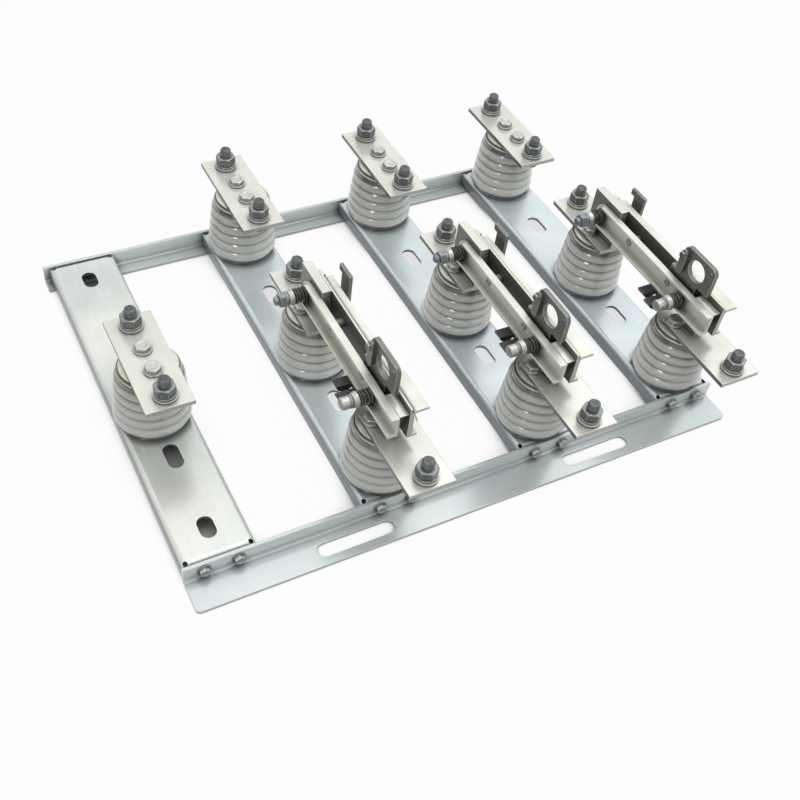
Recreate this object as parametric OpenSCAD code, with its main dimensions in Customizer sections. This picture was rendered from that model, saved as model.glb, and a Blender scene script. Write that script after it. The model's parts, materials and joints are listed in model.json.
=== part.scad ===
// Three-pole pole-top fuse switch with a neutral post, laid flat on its two rails.
// X runs along the rails, Y runs to the rear, Z is up, and the floor is Z = 0.

/* [Frame] */
// Distance between neighbouring channels, centre to centre
channel_pitch = 150; // [135:1:180]
// Width of each channel across its top
channel_w = 61; // [56:1:80]
// Length of the channels between the two rails
channel_len = 360; // [350:1:420]
// Thickness of the folded sheet
sheet_t = 3; // [2:0.5:4]
// Outside radius of the folds
fold_r = 5; // [4.5:0.5:7]
// Gap beside each end tab of a channel
tab_gap = 2; // [1.5:0.5:4]
// Diameter of the corner relief hole beside an end tab
relief_d = 4; // [3:0.5:6]
// Height of the upright leg of each rail
rail_leg = 18; // [16:1:30]
// Width of the front rail's foot, which points outward
front_foot = 32; // [28:1:50]
// Width of the rear rail's foot, which points inward under the channels
rear_foot = 16; // [12:1:24]
// Corner radius of the front rail's foot
foot_corner_r = 4; // [2:0.5:6]
// How far the rear rail runs past the outer channels
rear_rail_overhang = 5; // [3:1:20]
// Length of the hand slots in the front rail
hand_slot_len = 68; // [50:1:90]
// Width of the hand slots in the front rail
hand_slot_w = 13; // [10:1:16]
// Distance between the two hand slots, centre to centre
hand_slot_pitch = 234; // [200:1:280]

/* [Mounting slots] */
// Width of the slots in the channels
slot_w = 13; // [10:1:16]
// Length of the slots in the channels, end to end
slot_len = 26; // [22:1:34]
// Length of the two end slots of the neutral channel
end_slot_len = 21; // [18:1:24]
// Rear slot of the neutral channel, from the channel's rear end
neutral_slot_inset = 29; // [26:1:50]
// Middle slot of the neutral channel, from the channel's front end
neutral_slot_mid_y = 104; // [90:1:108]
// Front slot of the neutral channel, from the channel's front end
neutral_slot_front_y = 28; // [26:1:50]
// Rear slot of each pole channel, from the channel's front end
pole_slot_rear_y = 253; // [230:1:265]
// Front slot of each pole channel, from the channel's front end
pole_slot_front_y = 108; // [90:1:112]

/* [Post insulators] */
// Height of each ribbed insulator
post_h = 56; // [50:1:80]
// Diameter of the lowest rib
post_d = 65; // [60:1:72]
// How much each rib is smaller in radius than the rib below it
rib_step = 0.9; // [0.5:0.1:2]
// Number of ribs
rib_count = 5; // [4:1:6]
// Radius of the round edge of a rib
rib_r = 9; // [8:0.1:10]
// Diameter of the metal cap on top of each insulator
cap_d = 52; // [44:1:54]
// Height of the metal cap
cap_h = 5; // [4:0.5:10]
// Neutral post, from the channel's front end
neutral_post_y = 153; // [148:1:175]
// Rear posts, from the channel's rear end
rear_post_inset = 31; // [29:1:45]
// Hinge posts, from the channel's front end
hinge_post_y = 163; // [160:1:175]
// Contact posts, from the channel's front end
contact_post_y = 29; // [27:1:34]

/* [Terminals] */
// Width of the terminal bars
bar_w = 40; // [36:1:46]
// Thickness of the terminal bars
bar_t = 4; // [3:0.5:6]
// Length of the neutral bar and of the rear bars
bar_len = 108; // [104:1:120]
// Distance between the two studs of a bar
stud_pitch = 82; // [80:1:86]
// How far the hinge bar runs behind its post
hinge_bar_rear = 52; // [50:1:64]
// How far the contact bar runs in front of its post
contact_bar_front = 77; // [72:1:84]
// How far the contact bar runs behind its post
contact_bar_rear = 9; // [6:0.5:9]
// Distance from a bar's end to the stud of a hinge or contact bar
stud_inset = 12; // [11:0.5:14]
// Diameter of the terminal studs
stud_d = 10; // [8:1:12]
// Height of the stud ends above the bars
stud_rise = 20; // [18:1:30]

/* [Switch blades] */
// How far the lugs and blades lie to the left of the channel's middle
blade_offset = 5; // [0:0.5:6]
// Thickness of the hinge lug and of the contact lug
lug_t = 8; // [6:0.5:12]
// How far the blade pivot lies in front of the hinge post
pivot_lead = 9; // [6:0.5:12]
// How far the hinge lug runs in front of the pivot
hinge_lug_front = 20; // [18:1:24]
// How far the hinge lug runs behind the pivot
hinge_lug_rear = 20; // [16:1:24]
// Distance from the pivot to the rear face of the contact lug
contact_lug_reach = 133; // [132:0.5:136]
// Length of the contact lug along its top
contact_lug_len = 24; // [20:1:25]
// Height of the contact lug above the bar
contact_lug_h = 36; // [30:0.5:37]
// How far the contact lug's hollow front leans out from its foot
contact_lug_flare = 10; // [6:0.5:12]
// Height of the blade pivot above the bars
pivot_rise = 26; // [25:1:34]
// Height of the right blade, which ends level with the hinge lug
blade_h = 32; // [28:1:36]
// Thickness of the blade sheet
blade_t = 2.5; // [2:0.5:3.5]
// Thickness of the inner plate beside the right blade's fold
plate_t = 1.5; // [1:0.5:3]
// Width of the left blade's top flange, with the sheet
left_flange = 6.5; // [5:0.5:10]
// Width of the right blade's top flange, with the sheet and the plate
right_flange = 10; // [9.5:0.5:12]
// Width of the wide front part of that flange
wide_flange = 16; // [13:0.5:18]
// Distance from the pivot to the wide part of the flange
wide_reach = 118; // [112:1:124]
// How far the right blade's fold lies below the edge of its inner plate
fold_drop = 3; // [2:0.5:5]
// Outside radius of the right blade's top fold
right_fold_r = 5; // [4:0.5:7]
// Width of the bottom flanges, with the sheet
low_flange = 8.5; // [7:0.5:10]
// How far the blades run in front of the pivot
blade_front = 158; // [154:1:162]
// Free room between a blade and a lug
lug_clear = 0.3; // [0.2:0.05:0.6]
// Diameter of the pivot bolt
pivot_d = 8; // [7:0.5:9]
// Diameter of the clamp bolt
clamp_d = 8; // [6:0.5:9]
// Distance from the pivot to the clamp bolt
clamp_reach = 121; // [119:0.5:121]
// Distance from the pivot to the rear spacer between the blades
spacer_rear_reach = 42; // [40:0.5:50]
// Distance from the pivot to the front spacer between the blades
spacer_front_reach = 100; // [94:0.5:102]
// Diameter of the spacers between the blades
spacer_d = 8; // [6:0.5:10]
// Diameter of the spring wire
spring_wire = 2.2; // [1.5:0.1:2.4]
// Free room between a coil spring and its bolt
spring_room = 0.4; // [0.3:0.1:0.6]
// Free room between a coil spring and the left blade's flanges
flange_room = 0.8; // [0.6:0.1:1.5]
// Length of the coil springs
spring_len = 14; // [11:0.5:16]
// Number of turns of each coil spring
spring_turns = 4; // [3:1:5]

/* [Pull eye, latch and stop] */
// Thickness of the pull-eye plate
eye_t = 4; // [3:0.5:6]
// Length of the pull-eye plate along the blade
eye_len = 40; // [38:1:44]
// Height of the pull-eye plate above the blades
eye_rise = 28; // [26:1:40]
// Diameter of the pull-eye's hole
eye_hole_d = 20; // [16:1:21]
// Height of the hole's centre above the blades
eye_hole_rise = 13; // [12:0.5:16]
// Corner radius of the pull-eye plate
eye_corner_r = 6; // [4:0.5:8]
// Distance from the pivot to the middle of the pull eye
eye_reach = 121.5; // [120:0.5:123]
// Length of the latch arm beside the pull eye
latch_len = 24; // [18:0.5:25]
// Width of the latch arm
latch_w = 7; // [5:0.5:8]
// Thickness of the latch arm
latch_t = 3.5; // [2:0.5:5]
// Thickness of the opening stop
stop_t = 3; // [2:0.5:4]
// Length of the opening stop along the blade
stop_len = 14; // [10:1:16]
// How far the middle of the opening stop lies in front of the pivot
stop_lead = 12; // [10:0.5:13]
// Height of the opening stop above the pivot
stop_rise = 24; // [20:1:30]
// Length of the hooked tip of the opening stop
stop_tip = 5; // [3:0.5:7]
// Room between the opening stop and the blade beside it
stop_clear = 6; // [5.5:0.5:8]

/* [Claw] */
// Width of each prong of the black claw
prong_w = 9; // [7:0.5:10]
// Length of the flat top of a prong
prong_len = 16; // [12:0.5:18]
// Depth of a prong from its flat top to its keel
prong_depth = 7; // [5:0.5:8]
// Thickness of the strip that joins the two prongs
claw_t = 4; // [3:0.5:5]
// Distance from the pivot to the rear prong
prong_rear_reach = 92; // [88:0.5:92]
// Distance from the pivot to the front prong
prong_front_reach = 106; // [104:0.5:106]
// How far the rear prong reaches out from the middle between the blades
prong_rear_out = 26; // [23:0.5:30]
// How far the front prong reaches out from the middle between the blades
prong_front_out = 30; // [26:0.5:34]

/* [Hidden] */
$fn = 48;
channel_count = 4;
fit_clear = 0.05;
hole_clear = 0.5;
eps = 0.01;

channel_top = rail_leg;
channel_h = rail_leg - fold_r;
rear_post_y = channel_len - rear_post_inset;
front_reach = contact_bar_front - contact_post_y;
rear_reach = rear_post_y + bar_len / 2;
front_y = -(rear_reach - front_reach) / 2;
rear_y = front_y + channel_len;
bar_z = channel_top + post_h + cap_h;
bar_top = bar_z + bar_t;
pivot_z = bar_top + pivot_rise;
pivot_y = front_y + hinge_post_y - pivot_lead;
clamp_y = pivot_y - clamp_reach;
hinge_stud_y = hinge_post_y + hinge_bar_rear - stud_inset;
contact_stud_y = contact_post_y - contact_bar_front + stud_inset;
blade_gap = lug_t + 2 * lug_clear;
web_x = blade_gap / 2;
left_web_x = web_x + blade_t;
right_web_x = web_x + plate_t + blade_t;
spring_d = max(pivot_d, clamp_d) + 2 * spring_wire + 2 * spring_room;
left_h = spring_d + 2 * flange_room + 2 * blade_t;
frame_w = (channel_count - 1) * channel_pitch + channel_w;
function channel_x(i) = (i - (channel_count - 1) / 2) * channel_pitch;
function blade_x(n) = channel_x(n) - blade_offset;

zinc = "lightsteelblue";
plated = "gainsboro";
porcelain = "white";
bolt_steel = "slategray";
dark_steel = "dimgray";

// An outline with two round top corners, standing on the X axis
module round_top(w, h, r) {
    translate([-w / 2, 0]) square([w, h - r]);
    translate([-w / 2 + r, h - r - eps]) square([w - 2 * r, r + eps]);
    for (side = [-1, 1]) translate([side * (w / 2 - r), h - r]) circle(r);
}

// A slot with round ends, length along X
module slot_outline(length, width) {
    translate([-(length - width) / 2, -width / 2]) square([length - width, width]);
    for (end = [-1, 1]) translate([end * (length - width) / 2, 0]) circle(width / 2);
}

// A quarter of a folded sheet, from the -X side up to the top, about the fold's centre
module fold_outline(r, t) {
    intersection() {
        difference() {
            circle(r);
            circle(r - t);
        }
        translate([-r, 0]) square(r);
    }
}

// The folded angle of a rail: foot along -X, leg up, outer fold at the origin
module angle_outline(foot) {
    translate([-sheet_t, fold_r]) square([sheet_t, rail_leg - fold_r]);
    translate([-foot, 0]) square([foot - fold_r, sheet_t]);
    translate([-fold_r, fold_r]) rotate(180) fold_outline(fold_r, sheet_t);
}

// A rail of a given length along X, foot towards -Y, leg's outer face at Y = 0
module rail_bar(length, foot) {
    translate([-length / 2, 0, 0]) rotate([90, 0, 90]) linear_extrude(length) angle_outline(foot);
}

// The waste outside one round corner of the front foot
module corner_waste(side) {
    translate([side * (frame_w / 2 - foot_corner_r), foot_corner_r - front_foot, -1])
        linear_extrude(sheet_t + 2) difference() {
            translate([side > 0 ? 0 : -2 * foot_corner_r, -2 * foot_corner_r]) square(2 * foot_corner_r);
            circle(foot_corner_r);
        }
}

module front_rail() {
    color(zinc) translate([0, front_y, 0]) difference() {
        rail_bar(frame_w, front_foot);
        for (side = [-1, 1]) {
            corner_waste(side);
            translate([side * hand_slot_pitch / 2, -(front_foot + fold_r) / 2, -1])
                linear_extrude(sheet_t + 2) slot_outline(hand_slot_len, hand_slot_w);
        }
    }
}

module rear_rail() {
    color(zinc) translate([0, rear_y + sheet_t, 0])
        rail_bar(frame_w + 2 * rear_rail_overhang, rear_foot);
}

// The section of a folded channel, open at the bottom
module channel_outline(inner_w) {
    difference() {
        round_top(channel_w, channel_h, fold_r);
        translate([0, -eps]) round_top(inner_w, channel_h - sheet_t + eps, fold_r - sheet_t);
    }
}

// One folded channel with its end tabs and the slots that slot_list places
module channel(i, slot_list) {
    inner_w = channel_w - 2 * sheet_t;
    tab_w = inner_w - 2 * tab_gap;
    mid_y = front_y + channel_len / 2;
    color(zinc) translate([channel_x(i), mid_y, channel_top - channel_h]) difference() {
        intersection() {
            union() {
                translate([0, channel_len / 2, 0]) rotate([90, 0, 0])
                    linear_extrude(channel_len) channel_outline(inner_w);
                for (end = [-1, 1])
                    translate([-tab_w / 2, end * (channel_len - sheet_t) / 2 - sheet_t / 2, 0])
                        cube([tab_w, sheet_t, channel_h - sheet_t / 2]);
            }
            translate([-channel_w, 0, 0]) rotate([90, 0, 90]) linear_extrude(2 * channel_w)
                round_top(channel_len, channel_h, fold_r);
        }
        translate([0, 0, channel_h - 2 * sheet_t]) {
            for (side = [-1, 1], end = [-1, 1])
                translate([side * (tab_w + tab_gap) / 2, end * (channel_len / 2 - sheet_t), 0])
                    cylinder(h = 3 * sheet_t, d = relief_d);
            for (s = slot_list)
                translate([0, s[0] - channel_len / 2, 0])
                    linear_extrude(3 * sheet_t) rotate(90) slot_outline(s[1], slot_w);
        }
    }
}

module channel_neutral() {
    channel(0, [
        [channel_len - neutral_slot_inset, end_slot_len],
        [neutral_slot_mid_y, slot_len],
        [neutral_slot_front_y, end_slot_len]
    ]);
}

module channel_pole(n) {
    channel(n, [[pole_slot_rear_y, slot_len], [pole_slot_front_y, slot_len]]);
}

// A ribbed post: a stack of round ribs that narrows towards the top
module insulator(i, y) {
    rib_pitch = (post_h - 2 * rib_r) / (rib_count - 1);
    core_low = post_d / 2 - rib_r;
    core_high = core_low - rib_step * (rib_count - 1);
    color(porcelain) translate([channel_x(i), front_y + y, channel_top]) rotate_extrude() {
        polygon([[0, 0], [core_low, 0], [core_high, post_h], [0, post_h]]);
        for (k = [0 : rib_count - 1])
            translate([core_low - k * rib_step, rib_r + k * rib_pitch]) circle(rib_r);
    }
}

module post_cap(i, y) {
    rim_h = cap_h / 3;
    rim_step = 2;
    translate([channel_x(i), front_y + y, channel_top + post_h]) {
        cylinder(h = rim_h, d = cap_d);
        cylinder(h = cap_h, d = cap_d - 2 * rim_step);
    }
}

module post_caps() {
    color(plated) {
        post_cap(0, neutral_post_y);
        for (n = [1 : 3], y = [rear_post_y, hinge_post_y, contact_post_y]) post_cap(n, y);
    }
}

// A flat bar from y_from to y_to, with a stud hole at each place listed
module bar(i, y_from, y_to, stud_list) {
    translate([channel_x(i), front_y, bar_z]) difference() {
        translate([-bar_w / 2, y_from, 0]) cube([bar_w, y_to - y_from, bar_t]);
        for (y = stud_list)
            translate([0, y, -1]) cylinder(h = bar_t + 2, d = stud_d + 2 * hole_clear);
    }
}

module two_stud_bar(i, y) {
    color(plated)
        bar(i, y - bar_len / 2, y + bar_len / 2, [y - stud_pitch / 2, y + stud_pitch / 2]);
}

module hinge_terminal(n) {
    lug_h = pivot_rise + blade_h / 2;
    bar_front_y = hinge_post_y - pivot_lead - hinge_lug_front;
    color(plated) difference() {
        union() {
            bar(n, bar_front_y, hinge_post_y + hinge_bar_rear, [hinge_stud_y]);
            translate([blade_x(n) - lug_t / 2, pivot_y - hinge_lug_front, bar_top - eps])
                cube([lug_t, hinge_lug_front + hinge_lug_rear, lug_h + eps]);
        }
        translate([blade_x(n) - lug_t, pivot_y, pivot_z]) rotate([0, 90, 0])
            cylinder(h = 2 * lug_t, d = pivot_d + 2 * fit_clear);
    }
}

// The contact bar with its lug, whose hollow front leans out towards the top
module contact_terminal(n) {
    hollow_r = (pow(contact_lug_h, 2) + pow(contact_lug_flare, 2)) / (2 * contact_lug_flare);
    foot_len = contact_lug_len - contact_lug_flare;
    color(plated) {
        bar(n, contact_post_y - contact_bar_front, contact_post_y + contact_bar_rear, [contact_stud_y]);
        translate([blade_x(n) - lug_t / 2, pivot_y - contact_lug_reach, bar_top])
            rotate([90, 0, 90]) linear_extrude(lug_t) difference() {
                translate([-contact_lug_len, -eps]) square([contact_lug_len, contact_lug_h + eps]);
                translate([-foot_len - hollow_r, 0]) circle(hollow_r);
            }
    }
}

// A stud: hexagon head under the bar, shank, washers and nut above it
module stud(i, y) {
    hex_d = 1.83 * stud_d;
    head_h = 0.63 * stud_d;
    washer_t = 0.225 * stud_d;
    nut_h = 0.83 * stud_d;
    color(bolt_steel) translate([channel_x(i), front_y + y, bar_z]) {
        translate([0, 0, -head_h]) cylinder(h = head_h, d = hex_d, $fn = 6);
        translate([0, 0, -head_h]) cylinder(h = head_h + bar_t + stud_rise, d = stud_d);
        translate([0, 0, bar_t]) {
            cylinder(h = washer_t, d = 2 * stud_d);
            cylinder(h = 2 * washer_t, d = 1.6 * stud_d);
            translate([0, 0, 2 * washer_t]) cylinder(h = nut_h, d = hex_d, $fn = 6);
        }
    }
}

module bar_studs() {
    for (side = [-1, 1]) {
        stud(0, neutral_post_y + side * stud_pitch / 2);
        for (n = [1 : 3]) stud(n, rear_post_y + side * stud_pitch / 2);
    }
}

module terminal_studs() {
    for (n = [1 : 3]) {
        stud(n, hinge_stud_y);
        stud(n, contact_stud_y);
    }
}

// The opening stop: a folded plate beside the right blade with a hooked tip
module opening_stop(n) {
    stop_x = web_x + right_flange + stop_clear;
    stop_h = pivot_rise + stop_rise;
    color(dark_steel) translate([blade_x(n), pivot_y - stop_lead - stop_len / 2, bar_top]) {
        translate([lug_t / 2, 0, 0]) cube([stop_x + stop_t - lug_t / 2, stop_len, stop_t]);
        translate([stop_x, 0, 0]) cube([stop_t, stop_len, stop_h]);
        translate([stop_x, 0, stop_h - 2 * stop_t]) cube([stop_t, stop_len + stop_tip, 2 * stop_t]);
    }
}

// The left blade's section: web at X = 0, a flange out at top and bottom
module left_outline() {
    translate([0, -left_h / 2]) square([blade_t, left_h]);
    translate([0, left_h / 2 - blade_t]) square([left_flange, blade_t]);
    translate([0, -left_h / 2]) square([low_flange, blade_t]);
}

// The right blade's section: inner plate at X = 0, then a sheet with a soft top fold
module right_outline() {
    fold_x = plate_t + right_fold_r;
    web_t = plate_t + blade_t;
    fold_z = blade_h / 2 - fold_drop - right_fold_r;
    translate([0, -blade_h / 2]) square([plate_t, blade_h]);
    translate([0, -blade_h / 2]) square([web_t, blade_h / 2 + fold_z]);
    translate([fold_x, fold_z]) fold_outline(right_fold_r, blade_t);
    translate([fold_x - eps, fold_z + right_fold_r - blade_t]) square([right_flange - fold_x + eps, blade_t]);
    translate([0, -blade_h / 2]) square([low_flange, blade_t]);
}

// A blade from its section: straight to the pivot, then a half-round web end
module blade(web_t, h) {
    color(plated) translate([0, pivot_y, pivot_z]) difference() {
        union() {
            rotate([90, 0, 0]) linear_extrude(blade_front) children();
            rotate([90, 0, 90]) linear_extrude(web_t) intersection() {
                circle(d = h);
                translate([-eps, -h / 2]) square(h);
            }
        }
        translate([-1, 0, 0]) rotate([0, 90, 0])
            cylinder(h = web_t + 2, d = pivot_d + 2 * hole_clear);
        translate([-1, -clamp_reach, 0]) rotate([0, 90, 0])
            cylinder(h = web_t + 2, d = clamp_d + 2 * hole_clear);
    }
}

module blade_left(n) {
    translate([blade_x(n) - web_x, 0, 0]) mirror([1, 0, 0]) blade(blade_t, left_h) left_outline();
}

module blade_right(n) {
    flange_z = pivot_z + blade_h / 2 - fold_drop - blade_t;
    translate([blade_x(n) + web_x, 0, 0]) {
        blade(plate_t + blade_t, blade_h) right_outline();
        color(plated) translate([right_flange - eps, pivot_y - blade_front, flange_z])
            cube([wide_flange - right_flange + eps, blade_front - wide_reach, blade_t]);
    }
}

module blade_spacers(n) {
    color(plated) for (reach = [spacer_rear_reach, spacer_front_reach])
        translate([blade_x(n) - web_x, pivot_y - reach, pivot_z]) rotate([0, 90, 0])
            cylinder(h = blade_gap, d = spacer_d);
}

// A cross bolt through both blades: head at the right, cup, nut and thread end at the left
module cross_bolt(n, y, d) {
    head_h = 0.65 * d;
    cup_t = 5;
    nut_h = 0.8 * d;
    thread_end = 5;
    nut_x = left_web_x + spring_len + cup_t;
    left_x = nut_x + nut_h + thread_end;
    color(bolt_steel) translate([blade_x(n), y, pivot_z]) rotate([0, 90, 0]) {
        translate([0, 0, right_web_x]) cylinder(h = head_h, d = 1.6 * d, $fn = 6);
        translate([0, 0, -left_x]) cylinder(h = left_x + right_web_x + head_h / 2, d = d);
        translate([0, 0, -nut_x]) cylinder(h = cup_t, d = spring_d);
        translate([0, 0, -nut_x - nut_h]) cylinder(h = nut_h, d = 1.5 * d);
    }
}

// A coil spring on a cross bolt, as close round turns
module coil_spring(n, y) {
    turn_pitch = spring_len / spring_turns;
    coil_r = (spring_d - spring_wire) / 2;
    sleeve_t = spring_wire / 2;
    color("darkslategray") translate([blade_x(n) - left_web_x, y, pivot_z]) rotate([0, -90, 0])
        rotate_extrude() {
            translate([coil_r - sleeve_t / 2, 0]) square([sleeve_t, spring_len]);
            for (k = [0 : spring_turns - 1])
                translate([coil_r, turn_pitch * (k + 0.5)]) circle(d = spring_wire);
        }
}

module blade_springs(n) {
    coil_spring(n, pivot_y);
    coil_spring(n, clamp_y);
}

// The pull eye: an upright plate between the blades with a round hole above them
module pull_eye(n) {
    foot_rim = 6.5;
    foot_front = eye_reach - clamp_reach - foot_rim;
    foot_rear = eye_reach - spacer_front_reach + foot_rim;
    color(dark_steel) translate([blade_x(n) - eye_t / 2, pivot_y - eye_reach, pivot_z])
        rotate([90, 0, 90]) linear_extrude(eye_t) difference() {
            union() {
                translate([0, blade_h / 2]) round_top(eye_len, eye_rise, eye_corner_r);
                translate([foot_front, -foot_rim])
                    square([foot_rear - foot_front, foot_rim + blade_h / 2 + eps]);
            }
            translate([0, blade_h / 2 + eye_hole_rise]) circle(d = eye_hole_d);
            translate([eye_reach - clamp_reach, 0]) circle(d = clamp_d + 2 * hole_clear);
            translate([eye_reach - spacer_front_reach, 0]) circle(d = spacer_d + 2 * hole_clear);
        }
}

// The latch arm: a round-ended bar upright on the left face of the pull eye, at its rear edge
module latch_arm(n) {
    arm_y = pivot_y - eye_reach + eye_len / 2 - latch_w / 2;
    arm_z = pivot_z + blade_h / 2 + latch_len / 2 + hole_clear;
    color(dark_steel) translate([blade_x(n) - eye_t / 2 - latch_t, arm_y, arm_z])
        rotate([90, 0, 90]) linear_extrude(latch_t) rotate(90) slot_outline(latch_len, latch_w);
}

// One prong: a flat top and a round keel, from out_x towards the blade
module prong(reach, out_x) {
    keel_r = (pow(prong_len / 2, 2) + pow(prong_depth, 2)) / (2 * prong_depth);
    translate([-out_x + prong_len / 2, -reach + prong_w / 2, 0])
        rotate([90, 0, 0]) linear_extrude(prong_w) intersection() {
            translate([0, keel_r - prong_depth]) circle(keel_r);
            translate([-prong_len / 2, -prong_depth]) square([prong_len, prong_depth]);
        }
    translate([-out_x + prong_len / 2, -reach - prong_w / 2, -claw_t])
        cube([out_x - prong_len / 2 - web_x, prong_w, claw_t]);
}

// The black claw: two prongs out to the left, joined by a strip under the left blade
module claw(n) {
    strip_len = prong_front_reach - prong_rear_reach;
    color("black") translate([blade_x(n), pivot_y, pivot_z - left_h / 2]) {
        prong(prong_rear_reach, prong_rear_out);
        prong(prong_front_reach, prong_front_out);
        translate([-web_x - low_flange, -prong_front_reach, -claw_t]) cube([low_flange, strip_len, claw_t]);
    }
}

front_rail();
rear_rail();
channel_neutral();
insulator(0, neutral_post_y);  // insulator_neutral
for (n = [1 : 3]) insulator(n, rear_post_y);  // insulators_rear
for (n = [1 : 3]) insulator(n, hinge_post_y);  // insulators_hinge
for (n = [1 : 3]) insulator(n, contact_post_y);  // insulators_contact
post_caps();
two_stud_bar(0, neutral_post_y);  // neutral_bar
bar_studs();
terminal_studs();
for (n = [1 : 3]) {
    channel_pole(n);
    two_stud_bar(n, rear_post_y);
    hinge_terminal(n);
    contact_terminal(n);
    opening_stop(n);
    blade_left(n);
    blade_right(n);
    blade_spacers(n);
    cross_bolt(n, pivot_y, pivot_d);
    cross_bolt(n, clamp_y, clamp_d);
    blade_springs(n);
    pull_eye(n);
    latch_arm(n);
    claw(n);
}
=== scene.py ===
# %% [markdown]
# A pole-top fuse switch, dressed for its portrait. The solids of the part come from the packed
# frame and stay where they are. This lesson gives each solid its finish, and swaps the plain
# fasteners, springs, posts and caps for finely made ones. Shapes are worked out with numpy in
# millimetres and scaled to metres when they become a mesh.

# %% Load the frame
import json
import math

import bpy
import numpy as np
from mathutils import Matrix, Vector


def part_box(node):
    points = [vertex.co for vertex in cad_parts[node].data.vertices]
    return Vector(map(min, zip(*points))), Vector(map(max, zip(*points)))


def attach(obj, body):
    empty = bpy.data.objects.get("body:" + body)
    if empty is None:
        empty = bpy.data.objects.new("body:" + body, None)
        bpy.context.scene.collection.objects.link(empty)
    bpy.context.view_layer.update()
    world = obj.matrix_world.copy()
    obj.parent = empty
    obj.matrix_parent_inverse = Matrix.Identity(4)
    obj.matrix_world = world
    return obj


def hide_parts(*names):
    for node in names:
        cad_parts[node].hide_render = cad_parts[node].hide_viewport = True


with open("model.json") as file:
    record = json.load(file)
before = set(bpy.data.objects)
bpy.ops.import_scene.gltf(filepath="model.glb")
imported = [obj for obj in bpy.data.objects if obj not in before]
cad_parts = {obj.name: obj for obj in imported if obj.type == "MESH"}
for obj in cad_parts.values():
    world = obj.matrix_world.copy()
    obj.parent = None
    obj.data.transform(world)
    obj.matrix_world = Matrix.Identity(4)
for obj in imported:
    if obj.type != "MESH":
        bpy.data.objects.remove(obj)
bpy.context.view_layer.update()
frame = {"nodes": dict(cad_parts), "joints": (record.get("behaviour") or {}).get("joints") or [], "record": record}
scene = bpy.context.scene
nodes = frame["nodes"]
print("nodes loaded:", len(nodes))

# %% [markdown]
# Where things sit could be typed in again, but a change to the part would then leave its dressing
# behind. So the places are read from the frame itself: boxes give levels and middles, and the
# stud mounts of the record give the studs' places.

# %% Measure the frame
MM = 1000.0
POLES = (1, 2, 3)


def box_mm(name):
    """Lowest and highest corner of a solid, in millimetres."""
    low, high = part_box(name)
    return np.array(low) * MM, np.array(high) * MM


def middle(name):
    """Middle of a solid's box, in millimetres."""
    low, high = box_mm(name)
    return (low + high) / 2


channel_names = ["channel_neutral"] + [f"channel_pole_{n}" for n in POLES]
channel_x = [middle(name)[0] for name in channel_names]
front_y, rear_y = (corner[1] for corner in box_mm("channel_neutral"))
channel_top = box_mm("channel_neutral")[1][2]
bar_low, bar_top = (corner[2] for corner in box_mm("neutral_bar"))
pivots = {n: np.array(frame["joints"][n - 1]["pos_m"]) * MM for n in POLES}
blade_x = {n: pivots[n][0] for n in POLES}
post_rows = {
    "insulator_neutral": [(channel_x[0], middle("insulator_neutral")[1])],
    "insulators_rear": [(channel_x[n], middle("insulators_rear")[1]) for n in POLES],
    "insulators_hinge": [(channel_x[n], middle("insulators_hinge")[1]) for n in POLES],
    "insulators_contact": [(channel_x[n], middle("insulators_contact")[1]) for n in POLES],
}
print("channel top", round(channel_top, 2), "bar top", round(bar_top, 2))
print("first pivot", pivots[1].round(2))

# %% [markdown]
# The fittings of this switch are turned, bent or wound, so nearly all are round about some axis.
# They could be cut from ready-made cylinders, one groove at a time. A grid of points gives each
# in one go instead: its columns close round on themselves, as the staves of a barrel do, and its
# rows run along a profile or a path. A shell that ends is closed with a fan of triangles about
# the middle of its last row, and a ring closes along its rows as well.

# %% Grids, shells and pieces
def grid_faces(rows, columns, ring):
    """Quads between neighbouring points of a grid: along the row, then up to the next row."""
    i = np.arange(rows if ring else rows - 1)[:, None]
    j = np.arange(columns)[None, :]
    i2, j2 = (i + 1) % rows, (j + 1) % columns
    corners = [i * columns + j, i * columns + j2, i2 * columns + j2, i2 * columns + j]
    return np.stack(np.broadcast_arrays(*corners), -1).reshape(-1, 4)


def shell(points):
    """A closed skin: the grid's quads, and a fan about the mean of the first and the last row."""
    rows, columns = points.shape[:2]
    flat = points.reshape(-1, 3)
    first, last = len(flat), len(flat) + 1
    verts = np.vstack([flat, points[0].mean(0), points[-1].mean(0)])
    j = np.arange(columns)
    j2 = (j + 1) % columns
    end = (rows - 1) * columns
    fans = [
        np.stack([np.full(columns, first), j2, j], -1),
        np.stack([np.full(columns, last), end + j, end + j2], -1),
    ]
    return verts, [grid_faces(rows, columns, False), np.vstack(fans)]


def ring(points):
    """A skin like a bent tube that bites its tail: the grid closes both ways."""
    rows, columns = points.shape[:2]
    return points.reshape(-1, 3), [grid_faces(rows, columns, True)]


TURNS = {
    "+z": np.array([[1, 0, 0], [0, 1, 0], [0, 0, 1]]),
    "-y": np.array([[1, 0, 0], [0, 0, 1], [0, -1, 0]]),
    "+y": np.array([[-1, 0, 0], [0, 0, 1], [0, 1, 0]]),
    "-x": np.array([[0, 0, 1], [0, 1, 0], [-1, 0, 0]]),
    "+x": np.array([[0, 1, 0], [0, 0, 1], [1, 0, 0]]),
}


def put(skin, place, up="+z"):
    """A skin turned so that its own height runs along the named axis, then moved to its place."""
    verts, faces = skin
    return verts @ TURNS[up] + np.asarray(place, float), faces


SHARP_ANGLE = math.radians(27)


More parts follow.
